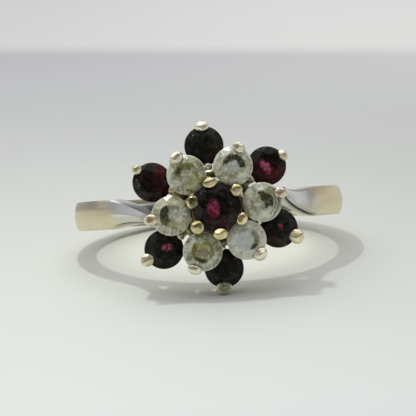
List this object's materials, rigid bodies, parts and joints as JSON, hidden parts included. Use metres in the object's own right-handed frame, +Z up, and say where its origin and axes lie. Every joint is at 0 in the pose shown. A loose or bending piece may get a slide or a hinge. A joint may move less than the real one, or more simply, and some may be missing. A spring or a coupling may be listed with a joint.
{
  "type": "gemstone cluster ring",
  "caption": "Finger ring with a flower cluster of round rubies and white stones in claws on two tiers, on a plain tapered band.",
  "frame": {"origin": "middle of the foot of the bounding box, on the surface that the ring lies on", "axes": "+Z up, the head faces -Y and is tipped up slightly, +X to the right seen from the front"},
  "size_m": [0.02, 0.0232, 0.0117],
  "materials": {
    "gold": "polished pale yellow gold, with whiter shoulders, claws and gallery",
    "ruby": "clear, very dark red faceted ruby",
    "white_stone": "clear to slightly cloudy faceted white stone"
  },
  "bodies": {
    "root": {"gold_mount": "gold", "centre_ruby": "ruby", "white_stone_1": "white_stone", "white_stone_2": "white_stone", "white_stone_3": "white_stone", "white_stone_4": "white_stone", "white_stone_5": "white_stone", "white_stone_6": "white_stone", "ruby_1": "ruby", "ruby_2": "ruby", "ruby_3": "ruby", "ruby_4": "ruby", "ruby_5": "ruby", "ruby_6": "ruby"}
  },
  "joints": []
}
